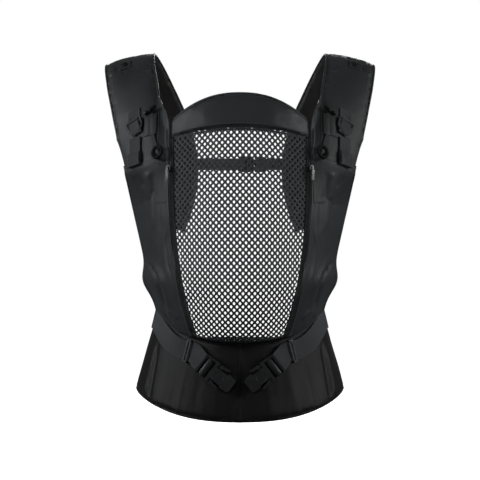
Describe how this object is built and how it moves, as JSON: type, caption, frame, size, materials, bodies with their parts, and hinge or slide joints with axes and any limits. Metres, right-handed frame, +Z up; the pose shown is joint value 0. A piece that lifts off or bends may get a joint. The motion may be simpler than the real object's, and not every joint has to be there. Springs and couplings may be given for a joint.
{
  "type": "soft baby carrier",
  "caption": "Soft structured baby carrier with mesh front panel, fold-down headrest, padded shoulder straps and a padded waist belt with webbing and side-release buckles.",
  "frame": {"origin": "Middle of the waist opening, level with the belt's lowest edge at the front", "axes": "+Z up along the wearer, -Y to the front where the panel is, +X to the wearer's left side"},
  "size_m": [0.536, 0.38, 0.7118],
  "materials": {
    "mesh": "black knitted spacer mesh with large round holes",
    "body_cloth": "matt black tight weave with a blue cast",
    "strap_cloth": "matt black weave over padding",
    "belt_cloth": "black satin weave with vertical folds",
    "lining": "plain black lining",
    "webbing": "ribbed charcoal webbing",
    "foam": "closed-cell foam, hidden",
    "hardware": "moulded black acetal, fine satin grain",
    "toggle": "glossy black",
    "zip_tape": "black knitted zip tape"
  },
  "bodies": {
    "carrier": {"mesh_panel": "mesh", "side_wing_l": "body_cloth", "side_wing_r": "body_cloth", "shoulder_yoke_l": "body_cloth", "shoulder_yoke_r": "body_cloth", "hip_pad_l": "foam", "hip_pad_r": "foam", "zip_tapes": "zip_tape", "belt_cover_l": "belt_cloth", "belt_cover_r": "belt_cloth", "belt_foam_l": "foam", "belt_foam_r": "foam", "belt_lining_l": "lining", "belt_lining_r": "lining", "waist_webbing_l": "webbing", "waist_webbing_r": "webbing", "strap_cover_l": "strap_cloth", "strap_cover_r": "strap_cloth", "strap_foam_l": "foam", "strap_foam_r": "foam", "strap_lining_l": "lining", "strap_lining_r": "lining", "adjuster_anchors": "webbing", "toggle_loops": "webbing", "guide_panels": "body_cloth", "ring_tapes": "webbing", "stud_patches": "body_cloth", "press_studs": "hardware", "arm_webbings": "webbing", "arm_adjusters": "hardware", "chest_runners": "webbing"},
    "headrest": {"headrest_cover": "body_cloth", "headrest_foam": "foam", "headrest_lining": "lining"},
    "chest_strap": {"chest_sliders": "hardware", "chest_webbing": "webbing", "chest_socket": "hardware"},
    "chest_plug": {"chest_plug": "hardware"},
    "chest_prong_upper": {"chest_prong_upper": "hardware"},
    "chest_prong_lower": {"chest_prong_lower": "hardware"},
    "zip_slider_l": {"zip_slider_l": "hardware"},
    "zip_pull_l": {"zip_pull_l": "hardware"},
    "waist_buckle_l": {"waist_buckle_l": "hardware"},
    "webbing_keeper_l": {"webbing_keeper_l": "hardware"},
    "squeeze_arm_upper_l": {"squeeze_arm_upper_l": "hardware"},
    "squeeze_arm_lower_l": {"squeeze_arm_lower_l": "hardware"},
    "strap_adjuster_l": {"strap_adjuster_l": "hardware"},
    "adjuster_tail_l": {"adjuster_tail_l": "webbing"},
    "toggle_bar_l": {"toggle_bar_l": "toggle"},
    "ring_button_l": {"ring_button_l": "hardware"},
    "zip_slider_r": {"zip_slider_r": "hardware"},
    "zip_pull_r": {"zip_pull_r": "hardware"},
    "waist_buckle_r": {"waist_buckle_r": "hardware"},
    "webbing_keeper_r": {"webbing_keeper_r": "hardware"},
    "squeeze_arm_upper_r": {"squeeze_arm_upper_r": "hardware"},
    "squeeze_arm_lower_r": {"squeeze_arm_lower_r": "hardware"},
    "strap_adjuster_r": {"strap_adjuster_r": "hardware"},
    "adjuster_tail_r": {"adjuster_tail_r": "webbing"},
    "toggle_bar_r": {"toggle_bar_r": "toggle"},
    "ring_button_r": {"ring_button_r": "hardware"}
  },
  "joints": [
    {"name": "headrest_fold", "type": "hinge", "parent": "carrier", "child": "headrest", "pos_m": [0, -0.197, 0.544], "axis": [1, 0, 0], "range_deg": [0, 110]},
    {"name": "zip_run_l", "type": "slide", "parent": "carrier", "child": "zip_slider_l", "axis": [0.0379, -0.0306, -0.9988], "range_m": [0, 0.1]},
    {"name": "zip_run_r", "type": "slide", "parent": "carrier", "child": "zip_slider_r", "axis": [-0.0379, -0.0306, -0.9988], "range_m": [0, 0.1]},
    {"name": "zip_pull_flip_l", "type": "hinge", "parent": "zip_slider_l", "child": "zip_pull_l", "pos_m": [-0.13316, -0.19167, 0.4691], "axis": [-0.867, 0.4961, -0.0481], "range_deg": [0, 120]},
    {"name": "zip_pull_flip_r", "type": "hinge", "parent": "zip_slider_r", "child": "zip_pull_r", "pos_m": [0.13316, -0.19167, 0.4691], "axis": [-0.867, -0.4961, 0.0481], "range_deg": [0, 120]},
    {"name": "buckle_adjust_l", "type": "slide", "parent": "carrier", "child": "waist_buckle_l", "axis": [0.792, -0.1289, -0.5968], "range_m": [-0.008, 0.004]},
    {"name": "buckle_adjust_r", "type": "slide", "parent": "carrier", "child": "waist_buckle_r", "axis": [-0.792, -0.1289, -0.5968], "range_m": [-0.008, 0.004]},
    {"name": "keeper_slide_l", "type": "slide", "parent": "carrier", "child": "webbing_keeper_l", "axis": [-0.883, 0.4295, 0.1894], "range_m": [-0.002, 0.006]},
    {"name": "keeper_slide_r", "type": "slide", "parent": "carrier", "child": "webbing_keeper_r", "axis": [0.883, 0.4295, 0.1894], "range_m": [-0.002, 0.006]},
    {"name": "squeeze_lower_l", "type": "hinge", "parent": "waist_buckle_l", "child": "squeeze_arm_lower_l", "pos_m": [-0.05423, -0.1505, 0.07642], "axis": [-0.103, -0.9917, 0.0776], "range_deg": [0, 6], "stiffness_Nm_per_rad": 0.02},
    {"name": "squeeze_lower_r", "type": "hinge", "parent": "waist_buckle_r", "child": "squeeze_arm_lower_r", "pos_m": [0.05423, -0.1505, 0.07642], "axis": [-0.103, 0.9917, -0.0776], "range_deg": [0, 6], "stiffness_Nm_per_rad": 0.02},
    {"name": "squeeze_upper_l", "type": "hinge", "parent": "waist_buckle_l", "child": "squeeze_arm_upper_l", "pos_m": [-0.03377, -0.1505, 0.10358], "axis": [0.103, 0.9917, -0.0776], "range_deg": [0, 6], "stiffness_Nm_per_rad": 0.02},
    {"name": "squeeze_upper_r", "type": "hinge", "parent": "waist_buckle_r", "child": "squeeze_arm_upper_r", "pos_m": [0.03377, -0.1505, 0.10358], "axis": [0.103, -0.9917, 0.0776], "range_deg": [0, 6], "stiffness_Nm_per_rad": 0.02},
    {"name": "adjuster_tilt_l", "type": "hinge", "parent": "carrier", "child": "strap_adjuster_l", "pos_m": [-0.2013, -0.11661, 0.5643], "axis": [-0.8134, 0.3316, -0.4778], "range_deg": [0, 50]},
    {"name": "adjuster_tilt_r", "type": "hinge", "parent": "carrier", "child": "strap_adjuster_r", "pos_m": [0.2013, -0.11661, 0.5643], "axis": [-0.8134, -0.3316, 0.4778], "range_deg": [0, 50]},
    {"name": "tail_pull_l", "type": "slide", "parent": "carrier", "child": "adjuster_tail_l", "axis": [0.0435, -0.3734, -0.9266], "range_m": [0, 0.03]},
    {"name": "tail_pull_r", "type": "slide", "parent": "carrier", "child": "adjuster_tail_r", "axis": [-0.0435, -0.3734, -0.9266], "range_m": [0, 0.03]},
    {"name": "toggle_swivel_l", "type": "hinge", "parent": "carrier", "child": "toggle_bar_l", "pos_m": [-0.16954, -0.12529, 0.58423], "axis": [0.4564, 0.8054, -0.3781], "range_deg": [-20, 20]},
    {"name": "toggle_swivel_r", "type": "hinge", "parent": "carrier", "child": "toggle_bar_r", "pos_m": [0.16954, -0.12529, 0.58423], "axis": [0.4564, -0.8054, 0.3781], "range_deg": [-20, 20]},
    {"name": "ring_turn_l", "type": "hinge", "parent": "carrier", "child": "ring_button_l", "pos_m": [-0.15174, -0.17662, 0.50163], "axis": [0.6197, 0.7381, -0.2667], "range_deg": [-45, 45]},
    {"name": "ring_turn_r", "type": "hinge", "parent": "carrier", "child": "ring_button_r", "pos_m": [0.15174, -0.17662, 0.50163], "axis": [0.6197, -0.7381, 0.2667], "range_deg": [-45, 45]},
    {"name": "chest_height", "type": "slide", "parent": "carrier", "child": "chest_strap", "axis": [0, 0, 1], "range_m": [-0.02, 0.02]},
    {"name": "chest_plug_pull", "type": "slide", "parent": "chest_strap", "child": "chest_plug", "axis": [1, 0, 0], "range_m": [0, 0.035]},
    {"name": "chest_prong_lower_squeeze", "type": "hinge", "parent": "chest_plug", "child": "chest_prong_lower", "pos_m": [0.0314, 0.143, 0.5085], "axis": [0, -1, 0], "range_deg": [0, 5], "stiffness_Nm_per_rad": 0.012},
    {"name": "chest_prong_upper_squeeze", "type": "hinge", "parent": "chest_plug", "child": "chest_prong_upper", "pos_m": [0.0314, 0.143, 0.4915], "axis": [0, 1, 0], "range_deg": [0, 5], "stiffness_Nm_per_rad": 0.012}
  ],
  "couplings": [
    {"joint": "squeeze_lower_l", "follows": "squeeze_upper_l", "ratio": 1},
    {"joint": "squeeze_lower_r", "follows": "squeeze_upper_r", "ratio": 1},
    {"joint": "chest_prong_lower_squeeze", "follows": "chest_prong_upper_squeeze", "ratio": 1}
  ]
}
